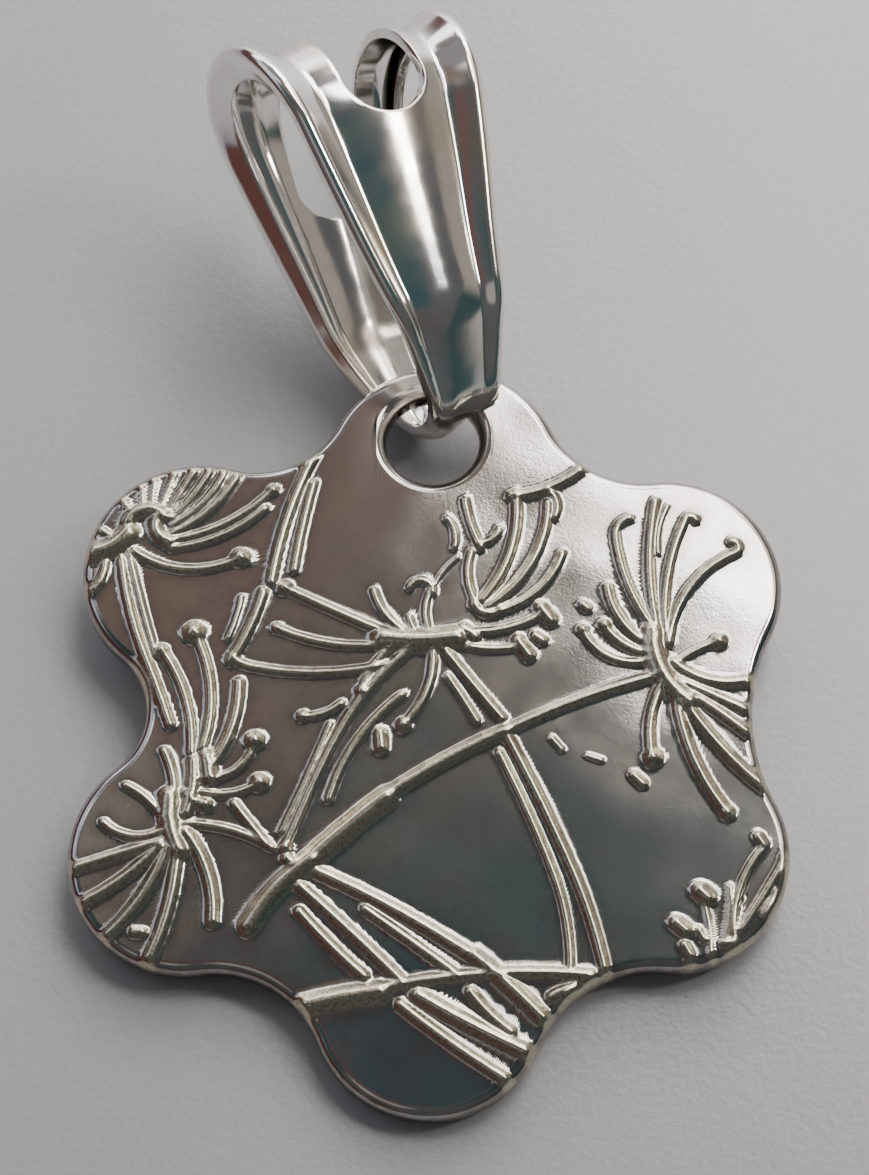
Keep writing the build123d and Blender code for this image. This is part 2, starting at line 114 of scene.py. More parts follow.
# Raised lines. Rows: path, width, radius of the bead at its end. A path has a start, a point that it goes
# through and an end, then the ends of arcs that carry straight on
relief = {
    "upperLeftHead": [
        ([(-0.99, 0.500), (-0.93, 0.510), (-0.87, 0.560)], 0.080, 0),
        ([(-0.87, 0.595), (-0.82, 0.630), (-0.77, 0.610)], 0.056, 0),
        ([(-0.79, 0.605), (-0.790, 0.565), (-0.755, 0.535)], 0.056, 0),
        ([(-0.86, 0.620), (-0.880, 0.645), (-0.890, 0.680)], 0.030, 0),
        ([(-0.83, 0.640), (-0.835, 0.670), (-0.830, 0.740)], 0.026, 0),
        ([(-0.805, 0.640), (-0.805, 0.690), (-0.790, 0.760)], 0.027, 0),
        ([(-0.785, 0.630), (-0.765, 0.690), (-0.725, 0.780)], 0.028, 0),
        ([(-0.765, 0.620), (-0.725, 0.690), (-0.665, 0.790)], 0.030, 0),
        ([(-0.750, 0.605), (-0.695, 0.670), (-0.625, 0.800)], 0.031, 0),
        ([(-0.745, 0.585), (-0.670, 0.645), (-0.590, 0.800)], 0.032, 0),
        ([(-0.745, 0.560), (-0.645, 0.630), (-0.550, 0.790)], 0.035, 0),
        ([(-0.745, 0.540), (-0.610, 0.583), (-0.468, 0.690)], 0.034, 0.022),
        ([(-0.750, 0.515), (-0.615, 0.550), (-0.490, 0.635)], 0.033, 0),
        ([(-0.850, 0.505), (-0.700, 0.452), (-0.555, 0.487)], 0.036, 0.034),
        ([(-0.92, 0.550), (-0.950, 0.575), (-0.985, 0.625)], 0.034, 0),
        ([(-0.93, 0.475), (-0.945, 0.415), (-0.990, 0.365)], 0.036, 0),
        ([(-0.885, 0.480), (-0.855, 0.330), (-0.807, 0.190), (-0.735, 0.000)], 0.040, 0),
        ([(-0.865, 0.500), (-0.822, 0.340), (-0.780, 0.200)], 0.030, 0),
    ],
    "longStems": [
        ([(-0.300, 0.900), (-0.408, 0.665), (-0.468, 0.415)], 0.044, 0),
        ([(-0.355, 0.710), (-0.382, 0.590), (-0.405, 0.450)], 0.035, 0),
        ([(-0.490, 0.385), (-0.522, 0.290), (-0.575, 0.185)], 0.043, 0),
        ([(-0.550, 0.370), (-0.563, 0.310), (-0.585, 0.250)], 0.026, 0),
        ([(-0.550, 0.120), (-0.560, 0.020), (-0.615, -0.110)], 0.044, 0),
    ],
    "centreHead": [
        ([(-0.160, 0.250), (-0.050, 0.243), (0.045, 0.252)], 0.084, 0),
        ([(-0.140, 0.262), (-0.290, 0.330), (-0.430, 0.397)], 0.036, 0.028),
        ([(-0.150, 0.232), (-0.310, 0.236), (-0.450, 0.280)], 0.032, 0.021),
        ([(-0.150, 0.172), (-0.360, 0.150), (-0.520, 0.168), (-0.575, 0.200)], 0.034, 0),
        ([(-0.130, 0.225), (-0.185, 0.165), (-0.214, 0.097)], 0.033, 0.026),
        ([(-0.270, 0.062), (-0.325, 0.030), (-0.375, 0.025)], 0.031, 0.022),
        ([(-0.020, 0.220), (-0.040, 0.090), (-0.100, 0.000)], 0.036, 0.027),
        ([(-0.163, -0.025), (-0.160, -0.065)], 0.050, 0),
        ([(-0.090, 0.265), (-0.155, 0.325), (-0.183, 0.388)], 0.034, 0),
        ([(-0.060, 0.260), (-0.076, 0.285), (-0.085, 0.310)], 0.029, 0),
        ([(-0.030, 0.270), (-0.041, 0.330), (-0.030, 0.380)], 0.029, 0),
        ([(-0.020, 0.385), (-0.050, 0.420), (-0.085, 0.400)], 0.031, 0),
        ([(-0.020, 0.395), (0.010, 0.448), (0.050, 0.490)], 0.019, 0),
        ([(0.063, 0.277), (0.097, 0.254)], 0.046, 0),
        ([(0.085, 0.268), (0.200, 0.283), (0.280, 0.320)], 0.032, 0),
        ([(0.278, 0.338), (0.304, 0.303)], 0.052, 0),
        ([(0.080, 0.225), (0.150, 0.218), (0.222, 0.226)], 0.031, 0),
        ([(0.214, 0.242), (0.243, 0.200)], 0.050, 0),
        ([(0.262, 0.256), (0.282, 0.243)], 0.040, 0),
    ],
    "centreFan": [
        ([(0.105, 0.345), (0.078, 0.420), (0.088, 0.505)], 0.032, 0),
        ([(0.112, 0.520), (0.085, 0.590), (0.070, 0.658)], 0.036, 0),
        ([(0.105, 0.530), (0.140, 0.540), (0.165, 0.572)], 0.033, 0),
        ([(0.092, 0.350), (0.130, 0.322), (0.170, 0.332)], 0.037, 0),
        ([(0.115, 0.360), (0.190, 0.490), (0.213, 0.680)], 0.041, 0),
        ([(0.130, 0.340), (0.250, 0.465), (0.303, 0.650)], 0.039, 0),
        ([(0.165, 0.330), (0.280, 0.398), (0.340, 0.500)], 0.035, 0),
        ([(0.200, 0.672), (0.300, 0.695), (0.425, 0.780)], 0.042, 0),
        ([(0.300, 0.690), (0.325, 0.660), (0.320, 0.610)], 0.034, 0),
        ([(0.020, 0.605), (0.040, 0.570), (0.040, 0.520)], 0.028, 0),
    ],
    "secondStem": [
        ([(-0.085, 0.215), (-0.205, 0.090), (-0.275, -0.020), (-0.345, -0.170), (-0.415, -0.345)],
         0.040, 0.026),
        ([(-0.300, 0.000), (-0.360, -0.150), (-0.425, -0.300)], 0.029, 0),
        ([(-0.105, 0.085), (-0.215, -0.030), (-0.300, -0.210)], 0.034, 0),
        ([(-0.410, -0.375), (-0.386, -0.397)], 0.046, 0),
    ],
    "slantingStem": [
        ([(-0.510, -0.560), (-0.435, -0.455), (-0.345, -0.380)], 0.070, 0),
        ([(-0.370, -0.402), (-0.250, -0.292), (-0.145, -0.205)], 0.080, 0),
        ([(-0.165, -0.215), (0.000, -0.108), (0.180, -0.017)], 0.052, 0),
        ([(0.160, -0.027), (0.370, 0.068), (0.600, 0.143)], 0.043, 0),
    ],
    "longLowerStem": [
        ([(0.005, 0.225), (0.090, 0.115), (0.168, 0.018)], 0.038, 0),
        ([(0.020, 0.140), (0.060, 0.078), (0.100, 0.010)], 0.028, 0),
        ([(0.178, -0.025), (0.270, -0.215), (0.350, -0.400), (0.435, -0.690)], 0.042, 0),
        ([(0.160, -0.080), (0.235, -0.245), (0.300, -0.410), (0.342, -0.670)], 0.033, 0),
    ],
    "bottomStems": [
        ([(-0.330, -0.410), (-0.110, -0.520), (0.110, -0.657)], 0.046, 0),
        ([(0.090, -0.638), (0.185, -0.722), (0.300, -0.840)], 0.056, 0),
        ([(-0.200, -0.513), (-0.075, -0.602), (0.045, -0.690)], 0.037, 0),
        ([(0.078, -0.735), (0.125, -0.790), (0.185, -0.842)], 0.042, 0),
        ([(-0.375, -0.450), (-0.228, -0.585), (-0.105, -0.705)], 0.044, 0),
        ([(-0.060, -0.745), (0.090, -0.828), (0.260, -0.910)], 0.058, 0),
        ([(-0.375, -0.520), (-0.290, -0.612), (-0.200, -0.695)], 0.042, 0),
        ([(-0.105, -0.770), (0.020, -0.865), (0.170, -0.965)], 0.043, 0),
        ([(0.295, -0.748), (0.320, -0.736), (0.370, -0.722)], 0.045, 0),
        ([(-0.400, -0.785), (-0.280, -0.757), (-0.160, -0.738)], 0.080, 0),
        ([(-0.200, -0.738), (0.100, -0.690), (0.400, -0.692)], 0.047, 0),
    ],
    "lowerLeftHead": [
        ([(-0.730, -0.205), (-0.725, -0.280), (-0.700, -0.350)], 0.078, 0),
        ([(-0.668, -0.105), (-0.668, -0.170), (-0.685, -0.250)], 0.052, 0),
        ([(-0.748, -0.075), (-0.723, -0.145), (-0.718, -0.230)], 0.037, 0),
        ([(-0.848, -0.172), (-0.795, -0.206), (-0.745, -0.262)], 0.032, 0.022),
        ([(-0.905, -0.275), (-0.835, -0.312), (-0.740, -0.295)], 0.034, 0),
        ([(-1.005, -0.412), (-0.880, -0.370), (-0.750, -0.330)], 0.043, 0),
        ([(-0.990, -0.515), (-0.850, -0.432), (-0.750, -0.340)], 0.045, 0),
        ([(-0.905, -0.605), (-0.795, -0.478), (-0.735, -0.350)], 0.046, 0),
        ([(-0.790, -0.690), (-0.727, -0.520), (-0.705, -0.350)], 0.047, 0),
        ([(-0.685, -0.300), (-0.617, -0.430), (-0.605, -0.545)], 0.049, 0),
        ([(-0.710, -0.280), (-0.570, -0.293), (-0.450, -0.345)], 0.031, 0),
        ([(-0.555, -0.222), (-0.512, -0.278), (-0.465, -0.335)], 0.034, 0),
        ([(-0.690, -0.190), (-0.665, -0.212), (-0.632, -0.225)], 0.040, 0.026),
        ([(-0.645, -0.065), (-0.628, 0.110), (-0.677, 0.265)], 0.038, 0.040),
        ([(-0.675, -0.080), (-0.703, 0.100), (-0.765, 0.215)], 0.037, 0.024),
        ([(-0.632, -0.095), (-0.622, -0.150)], 0.064, 0),
        ([(-0.650, -0.150), (-0.552, -0.128), (-0.504, -0.045)], 0.030, 0.034),
        ([(-0.640, -0.190), (-0.550, -0.192), (-0.488, -0.163)], 0.030, 0.031),
        ([(-0.810, -0.575), (-0.790, -0.575)], 0.040, 0),
    ],
    "rightHead": [
        ([(0.585, 0.265), (0.600, 0.170), (0.675, 0.070)], 0.084, 0),
        ([(0.575, 0.230), (0.500, 0.300), (0.463, 0.398)], 0.041, 0),
        ([(0.590, 0.275), (0.520, 0.410), (0.490, 0.550), (0.530, 0.605)], 0.036, 0),
        ([(0.603, 0.255), (0.582, 0.460), (0.603, 0.655)], 0.038, 0),
        ([(0.625, 0.230), (0.637, 0.460), (0.685, 0.600), (0.715, 0.600)], 0.035, 0),
        ([(0.607, 0.500), (0.613, 0.580), (0.637, 0.640)], 0.022, 0),
        ([(0.630, 0.240), (0.715, 0.425), (0.820, 0.500), (0.812, 0.535)], 0.036, 0),
        ([(0.645, 0.175), (0.715, 0.220), (0.767, 0.240)], 0.031, 0.028),
        ([(0.640, 0.180), (0.750, 0.124), (0.858, 0.132)], 0.044, 0),
        ([(0.650, 0.130), (0.760, 0.078), (0.870, 0.025)], 0.040, 0),
        ([(0.690, 0.085), (0.785, 0.018), (0.900, -0.085)], 0.041, 0),
        ([(0.660, 0.080), (0.760, -0.062), (0.895, -0.195)], 0.045, 0.024),
        ([(0.645, 0.080), (0.690, -0.105), (0.772, -0.248)], 0.046, 0.026),
        ([(0.610, 0.120), (0.572, 0.010), (0.575, -0.095)], 0.040, 0.034),
        ([(0.522, -0.143), (0.548, -0.168)], 0.036, 0),
        ([(0.570, 0.185), (0.450, 0.205), (0.393, 0.275)], 0.031, 0.021),
        ([(0.580, 0.205), (0.500, 0.237), (0.453, 0.288)], 0.037, 0.024),
        ([(0.394, 0.348), (0.407, 0.337)], 0.036, 0),
        ([(0.303, -0.038), (0.330, -0.070)], 0.022, 0),
        ([(0.400, -0.088), (0.436, -0.100)], 0.020, 0),
    ],
    "cornerHead": [
        ([(0.690, -0.462), (0.710, -0.482)], 0.060, 0),
        ([(0.625, -0.550), (0.650, -0.572)], 0.052, 0),
        ([(0.685, -0.570), (0.698, -0.595)], 0.032, 0),
        ([(0.645, -0.610), (0.660, -0.637)], 0.036, 0),
        ([(0.750, -0.605), (0.770, -0.602)], 0.036, 0),
        ([(0.852, -0.315), (0.866, -0.337)], 0.040, 0),
        ([(0.930, -0.343), (0.917, -0.368)], 0.034, 0),
        ([(0.702, -0.500), (0.713, -0.570), (0.707, -0.690)], 0.026, 0),
        ([(0.772, -0.455), (0.770, -0.520), (0.757, -0.590)], 0.030, 0),
        ([(0.862, -0.350), (0.800, -0.450), (0.785, -0.640)], 0.034, 0),
        ([(0.922, -0.370), (0.870, -0.460), (0.795, -0.570)], 0.036, 0),
        ([(0.925, -0.430), (0.897, -0.475), (0.862, -0.525)], 0.037, 0),
    ],
}


def faceToTable(shift=Vector()):
    pitch = Matrix.Rotation(radians(lying["pitch"]), 4, "X")
    roll = Matrix.Rotation(radians(lying["roll"]), 4, "Y")
    return Matrix.Translation(shift) @ (pitch @ roll)


def smoothStep(share):
    share = np.clip(share, 0, 1)
    return share * share * (3 - 2 * share)


# the outline's circles, clockwise: centre, radius, 1 for a lobe or -1 for a notch, its arc's start and sweep
def outlineCircles():
    lobes = [(Vector((x, y)), r, notch) for x, y, r, notch in plate["lobes"]]
    circles = []
    for i, (centre, radius, fill) in enumerate(lobes):
        nextCentre, nextRadius, _ = lobes[(i + 1) % len(lobes)]
        gap = nextCentre - centre
        away = gap.length
        along = ((radius + fill) ** 2 - (nextRadius + fill) ** 2 + away ** 2) / (2 * away)
        out = sqrt((radius + fill) ** 2 - along ** 2)
        way = gap / away
        notch = centre + way * along + Vector((-way.y, way.x)) * out
        circles.append((centre, radius, 1))
        circles.append((notch, fill, -1))
    arcs = []
    for i, (centre, radius, side) in enumerate(circles):
        ends = []
        for other, otherRadius, _ in (circles[i - 1], circles[(i + 1) % len(circles)]):
            touch = centre + (other - centre) * radius / (radius + otherRadius)
            ends.append(atan2(touch.y, touch.x))
        sweep = (ends[0] - ends[1]) % (2 * pi)
        size = plate["halfWidth"]
        arcs.append((np.array(centre) * size, radius * size, side, ends[0], sweep))
    return arcs


# the plate's edge at each angle about its middle, and the way out of the metal there
def plateEdge(angles):
    edge = np.zeros((len(angles), 2))
    outward = np.zeros((len(angles), 2))
    for centre, radius, side, start, sweep in outlineCircles():
        inside = (start - angles) % (2 * pi) <= sweep
        way = np.column_stack((np.cos(angles[inside]), np.sin(angles[inside])))
        along = way @ centre
        reach = along + side * np.sqrt(radius ** 2 - centre @ centre + along ** 2)
        edge[inside] = way * reach[:, None]
        outward[inside] = side * (edge[inside] - centre) / radius
    return edge, outward


# the same for the hole, whose metal lies outside it
def holeEdge(angles):
    way = np.column_stack((np.cos(angles), np.sin(angles)))
    return np.array((hole["across"], hole["up"])) + way * hole["radius"], -way


# an arc that turns by twice this angle; points are complex numbers
def arcPoints(start, end, turn):
    share = np.linspace(0, 1, casting["steps"] + 1)
    if abs(turn) < slack:
        return start + (end - start) * share
    return start + (end - start) * np.exp(1j * turn * (share - 1)) * np.sin(turn * share) / sin(turn)


# a raised line's middle: an arc through three points, then arcs that carry straight on from it
def spineOf(path):
    stops = [complex(*stop) * plate["halfWidth"] for stop in path]
    start = stops[0]
    end = stops[2] if len(stops) > 2 else stops[1]
    turn = np.angle((end - stops[1]) / (stops[1] - start)) if len(stops) > 2 else 0
    line = [arcPoints(start, end, turn)]
    for stop in stops[3:]:
        heading = (end - start) * np.exp(1j * turn)
        start, end = end, stop
        turn = np.angle((end - start) / heading)
        line.append(arcPoints(start, end, turn)[1:])
    return np.concatenate(line)


# every raised line and every bead: its middle line, or the bead's middle alone, and half its width
def reliefShapes():
    shapes = []
    for rows in relief.values():
        for path, width, bead in rows:
            line = spineOf(path)
            shapes.append((line, width * plate["halfWidth"] / 2 * casting["slim"]))
            if bead:
                shapes.append((line[-1:], bead * plate["halfWidth"] * casting["slim"]))
    return shapes


def gapTo(spots, line):
    gap = np.abs(spots - line[0])
    for start, end in zip(line[:-1], line[1:]):
        way = end - start
        share = np.clip(((spots - start) * np.conj(way)).real / abs(way) ** 2, 0, 1)
        gap = np.minimum(gap, np.abs(spots - start - way * share))
    return gap


# a wave whose crests stray this far from straight, at this pace
def strayWave(along, beside, stray, pace):
    return np.sin(along + stray * np.sin(pace * beside))


# height, tarnish with painted shade, and polish of the face at each spot
def castFace(spots):
    turns = spots * 2 * pi / casting["wobbleLength"]
    acrossStray, upStray = casting["wobbleStray"]
    wobble = strayWave(turns.real, turns.imag, *acrossStray) * strayWave(turns.imag, turns.real, *upStray)
    wobble *= casting["wobble"]
    raised = np.zeros(len(spots))
    tarnishAndShade = np.zeros(len(spots))
    for line, half in reliefShapes():
        rise = np.clip(casting["rise"] * 2 * half, casting["lowest"], casting["highest"])
        margin = half + casting["tarnishAndShadeEnd"]
        near = (spots.real > line.real.min() - margin) & (spots.real < line.real.max() + margin)
        near &= (spots.imag > line.imag.min() - margin) & (spots.imag < line.imag.max() + margin)
        gap = gapTo(spots[near], line)
        gap = np.maximum(gap + wobble[near] * gap / half, 0)
        height = rise * np.clip(1 - (gap / half) ** 2, 0, 1) ** casting["shoulder"]
        raised[near] += height ** casting["merging"]
        # darker beside each line: partly tarnish, partly painted shade at the line's foot
        beside = np.clip(gap - half * casting["tarnishAndShadeStart"], 0, None)
        tarnishAndShade[near] = np.maximum(tarnishAndShade[near], np.exp(-beside / casting["tarnishAndShadeReach"]))
    raised = raised ** (1 / casting["merging"])
    polish = smoothStep(raised / casting["lowest"])
    wave = np.zeros(len(spots))
    for height, length, degrees in casting["waves"]:
        turned = spots * np.exp(-1j * radians(degrees)) / length
        wave += height * strayWave(2 * pi * turned.real, turned.imag, *casting["waveStray"])
    return raised + wave, tarnishAndShade * (1 - polish), polish


# the face at each spot, gathered from a small ring round it: height, tarnish with painted shade, polish, and
# the way it looks
def softFace(spots):
    count = casting["softSpots"]
    ways = np.exp(2j * pi * np.arange(count) / count)
    felt = [castFace(spots + way * casting["softness"]) for way in ways]
    slope = sum(height * way for way, (height, _, _) in zip(ways, felt)) * 2 / count / casting["softness"]
    facing = np.column_stack((-slope.real, -slope.imag, np.ones(len(spots))))
    return (*np.mean(felt, axis=0), facing / np.linalg.norm(facing, axis=1)[:, None])


# draws the cells of the face together at the raised lines, where they need more points
def crowdCells(spots, held):
    spots = spots.reshape(plate["cells"] + 1, -1)
    free = ~held.reshape(spots.shape)[1:-1, 1:-1]
    for _ in range(casting["crowdRounds"]):
        _, tarnishAndShade, polish = castFace(spots.ravel())
        pull = 1 + casting["crowding"] * np.maximum(polish, tarnishAndShade ** 2).reshape(spots.shape)
        for _ in range(casting["crowdSteps"]):
            total = 0
            drawn = 0
            for move in ((0, 1), (0, -1), (1, 0), (-1, 0)):
                beside = [np.roll(values, move, (0, 1))[1:-1, 1:-1] for values in (spots, pull)]
                weight = beside[1] + pull[1:-1, 1:-1]
                total = total + weight
                drawn = drawn + weight * beside[0]
            spots[1:-1, 1:-1] = np.where(free, drawn / total, spots[1:-1, 1:-1])
    return spots.ravel()


# grows rings of faces from an open edge of the face: rows of inset, height, share kept of the relief
def growRings(bm, edges, edgeAt, rows):
    angle = bm.verts.layers.float["angle"]
    relieved = bm.verts.layers.float["relieved"]
    facing = bm.verts.layers.float_vector["facing"]
    tarnishAndShade = bm.verts.layers.float["tarnishAndShade"]
    for inset, up, kept in rows:
        made = bmesh.ops.extrude_edge_only(bm, edges=edges)["geom"]
        verts = [item for item in made if isinstance(item, bmesh.types.BMVert)]
        edges = [item for item in made if isinstance(item, bmesh.types.BMEdge)]
        spots, outward = edgeAt(np.array([vert[angle] for vert in verts]))
        for vert, spot in zip(verts, spots - outward * inset):
            vert.co = (spot[0], spot[1], up + vert[relieved] * kept)
            vert[facing] = (0, 0, 0)
            # painted shade: the worn edge gets darker as it turns away from the face, and the wall and back
            # are darkest
            vert[tarnishAndShade] = max(vert[tarnishAndShade], 1 - kept)
    return edges


# rings over a rounded front edge, down the wall, and round the back edge
def edgeRows(frontEdge, backEdge):
    thickness = plate["thickness"]
    quarter = [pi / 2 * (step + 1) / plate["edgeSteps"] for step in range(plate["edgeSteps"])]
    rows = [(frontEdge * (1 - sin(turn)), -frontEdge * (1 - cos(turn)), cos(turn) ** 2) for turn in quarter]
    rows.append((0, backEdge - thickness, 0))
    rows += [(backEdge * (1 - cos(turn)), backEdge * (1 - sin(turn)) - thickness, 0) for turn in quarter]
    rows.append((backEdge + plate["backMargin"], -thickness, 0))
    return rows


# the square sheet becomes a disc, and the disc the flower: each point's place on the face, and its angle
def flowerSheet(across, up):
    sideways = np.abs(across) >= np.abs(up)
    long = np.where(sideways, across, up)
    short = np.where(sideways, up, -across)
    turned = pi / 4 * short / np.where(long == 0, 1, long)
    angles = turned + np.where(sideways, 0, pi / 2) + np.where(long < 0, pi, 0)
    edge, outward = plateEdge(angles)
    reach = np.maximum(np.abs(across), np.abs(up))
    return (edge - outward * plate["faceEdge"]) * reach[:, None], angles


# a block of cells round the hole's place leans into a circle: each point's place, its angle about the hole,
# and how far out in the block it lies
def leanToHole(spots, across, up):
    middle = np.array((hole["across"], hole["up"]))
    nearest = np.argmin(np.hypot(*(spots - middle).T))
    alongAcross = (across - across[nearest]) * plate["cells"] / 2 / hole["cellsAcross"]
    alongUp = (up - up[nearest]) * plate["cells"] / 2 / hole["cellsUp"]
    block = np.maximum(np.abs(alongAcross), np.abs(alongUp))
    rounding = holeMouth * block / np.maximum(np.hypot(alongAcross, alongUp), slack)
    circle = middle + np.column_stack((alongAcross * rounding, alongUp * rounding))
    keep = smoothStep((block - 1) / hole["fade"])[:, None]
    return circle * (1 - keep) + spots * keep, np.arctan2(alongUp, alongAcross), block


def finishPiece(bm, name, node):
    mesh = bpy.data.meshes.new(name)
    for face in bm.faces:
        face.smooth = True
    bm.to_mesh(mesh)
    bm.free()
    if "facing" in mesh.attributes:      # no length where the mesh's own normal stays
        ways = [item.vector for item in mesh.attributes["facing"].data]
        mesh.normals_split_custom_set_from_vertices(ways)
        mesh.attributes.remove(mesh.attributes["facing"])
    piece = bpy.data.objects.new(name, mesh)
    bpy.context.scene.collection.objects.link(piece)
    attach(piece, "root")
    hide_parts(node)
    return piece


def makeFlower():
    bm = bmesh.new()
    layers = [bm.verts.layers.float.new(name) for name in ("angle", "relieved", "tarnishAndShade", "polish")]
    facingLayer = bm.verts.layers.float_vector.new("facing")
    bmesh.ops.create_grid(bm, x_segments=plate["cells"], y_segments=plate["cells"], size=1)
    bm.verts.ensure_lookup_table()
    across, up = np.array([vert.co[:2] for vert in bm.verts]).T
    spots, angles = flowerSheet(across, up)
    spots, holeAngles, block = leanToHole(spots, across, up)
    angles = np.where(block < 1 + slack, holeAngles, angles)
    spots = crowdCells(spots[:, 0] + 1j * spots[:, 1], block < 1 + hole["fade"])
    height, tarnishAndShade, polish, facing = softFace(spots)
    facing = facing @ np.array(faceToTable().to_3x3()).T
    for i, vert in enumerate(bm.verts):
        vert.co = (spots[i].real, spots[i].imag, height[i])
        for layer, values in zip(layers, (angles, height, tarnishAndShade, polish)):
            vert[layer] = values[i]
        vert[facingLayer] = facing[i]
    inside = [vert for vert, share in zip(bm.verts, block) if share < 1 - slack]
    bmesh.ops.delete(bm, geom=inside, context="VERTS")

    middle = Vector((hole["across"], hole["up"]))
    reach = holeMouth * hole["catch"]
    openEdges = [edge for edge in bm.edges if edge.is_boundary]
    atHole = [edge for edge in openEdges if (edge.verts[0].co.xy - middle).length < reach]
    atRim = [edge for edge in openEdges if edge not in atHole]
    back = growRings(bm, atRim, plateEdge, edgeRows(plate["faceEdge"], plate["backEdge"]))
    back += growRings(bm, atHole, holeEdge, edgeRows(hole["edge"], hole["edge"]))
    bmesh.ops.triangle_fill(bm, edges=back, use_beauty=True, normal=(0, 0, -1))
    bmesh.ops.recalc_face_normals(bm, faces=bm.faces)

    # it leans as it lies, and stands where the solid does
    bmesh.ops.transform(bm, matrix=faceToTable(), verts=bm.verts)
    low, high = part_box("flower")
    places = np.array([vert.co for vert in bm.verts])
    middle = (places.min(axis=0) + places.max(axis=0)) / 2
    shift = Vector(((low.x + high.x) / 2 - middle[0], (low.y + high.y) / 2 - middle[1], 0))
    shift.z = low.z - places[:, 2].min()
    bmesh.ops.translate(bm, vec=shift, verts=bm.verts)
    return finishPiece(bm, "castFlower", "flower"), faceToTable(shift)


# The bail, in its own frame: across its width, back from its front leg, up from its bend
bail = {
    "right": 0.26 * mm,         # the lowest point of its bend, from the middle of the hole
    "up": 0.37 * mm,
    "down": 0.97 * mm,          # below the flower's face
    "widthWay": (0.864, 0.386, -0.325),
    "lengthWay": (-0.26, 0.892, 0.369),
    "length": 15.05 * mm,
    "crown": 3.55 * mm,         # radius of its round top
    "bend": 2.5 * mm,           # radius of its bend
    "straightUp": 5.0 * mm,
    "sheet": 0.36 * mm,
    # half widths up its front leg and its back leg, in millimetres: height, left, right
    "frontWidths": [(0.0, 0.7, 0.7), (0.25, 0.7, 0.75), (0.6, 0.8, 1.9), (1.2, 0.88, 2.0), (2.0, 1.22, 2.05),
                    (3.5, 1.85, 2.2), (6.0, 2.6, 2.5), (10.0, 3.5, 3.3), (15.1, 4.55, 4.05)],
    "backWidths": [(0.0, 0.7, 0.7), (0.9, 0.7, 0.7), (2.0, 1.52, 1.52), (6.0, 2.5, 2.5), (10.0, 3.48, 3.4),
                   (15.1, 4.55, 4.05)],
    "valley": 0.62,             # share of the width that lies between the two valleys
    # depths up the bail, in millimetres: height, middle, valleys, lips, side wall
    "depths": [(0.0, 0.0, 0.12, 0.2, 0.45), (2.0, 0.05, 0.18, 0.08, 0.7), (6.0, 0.09, 0.44, 0.02, 0.97),
               (15.1, 0.05, 0.60, 0.0, 1.25)],
    # height in millimetres, degrees that the side wall leans in under the lip
    "tucks": [(1.3, 0), (2.6, 18), (5.0, 28), (15.1, 34)],
    "smoothing": 1.4 * mm,      # how far up and down the tables' corners are rounded off
    "smoothSpots": 9,
    "slotWidth": 3.2 * mm,
    "slotShare": 0.80,          # the slot is no wider than this share between the valleys
    "slotFront": (3.75 * mm, 1.6 * mm),     # how far the slot runs down the leg, and its end's radius
    "slotBack": (6.2 * mm, 1.2 * mm),
    "slotFade": 0.8,            # how far round its ends the cells lean
    "corner": 0.34 * mm,        # round edge between the lip and the side wall
    "cornerShare": 0.6,         # the edge takes no more than this share of the lip
    "lipTurn": radians(-18),    # how far the lip's slope rises outwards
    "lipCurve": 1.25,           # over 1 the slope is hollow
    "middleCurve": 1.7,         # 2 is round, less is fuller at the valleys
    # half the cells across the slot and between the valleys, then those of one lip, edge and side wall
    "slotCells": 8,
    "valleyCells": 14,
    "lipCells": 9,
    "cornerCells": 4,
    "wallCells": 5,
    "loopCells": 368,
    "rim": 0.035 * mm,
    "rimTurn": radians(50),     # edges sharper than this are rounded
}


# the loop seen from its side, from its bend up the back leg, over the top and down the front leg. Gives each
# point's place back and up, its outward way, and how far along the pieces of its half end
def loopAt(along):
    bend, crown, straight = bail["bend"], bail["crown"], bail["straightUp"]
    lean = asin((crown - bend) / (straight - bend))
    slope = sqrt((straight - bend) ** 2 - (crown - bend) ** 2)
    upright = bail["length"] - crown - straight
    # length, and radius where it is round
    pieces = [(bend * (pi / 2 - lean), bend), (slope, 0), (crown * lean, crown), (upright, 0),
              (crown * pi / 2, crown)]
    stops = np.concatenate(([0], np.cumsum([length for length, _ in pieces])))
    side = np.where(along > stops[-1], -1, 1)
    back = np.minimum(along, 2 * stops[-1] - along)
    turn = np.full(len(along), -pi / 2)         # the outward way's angle above level
    out = np.zeros(len(along))
    up = np.zeros(len(along))
    for start, (length, radius) in zip(stops, pieces):
        passed = np.clip(back - start, 0, length)
        if radius:
            turned = turn + passed / radius
            out += radius * (np.cos(turned) - np.cos(turn))
            up += radius * (np.sin(turned) - np.sin(turn))
            turn = turned
        else:
            out -= passed * np.sin(turn)
            up += passed * np.cos(turn)
    return side * out, up, side * np.cos(turn), np.sin(turn), stops


# a value from a table at each height, its corners rounded off
def atHeight(up, heights, values):
    reach = np.minimum(bail["smoothing"], up / 2)
    steps = np.linspace(-1, 1, bail["smoothSpots"])
    return np.mean([np.interp(up + step * reach, heights, values) for step in steps], axis=0)


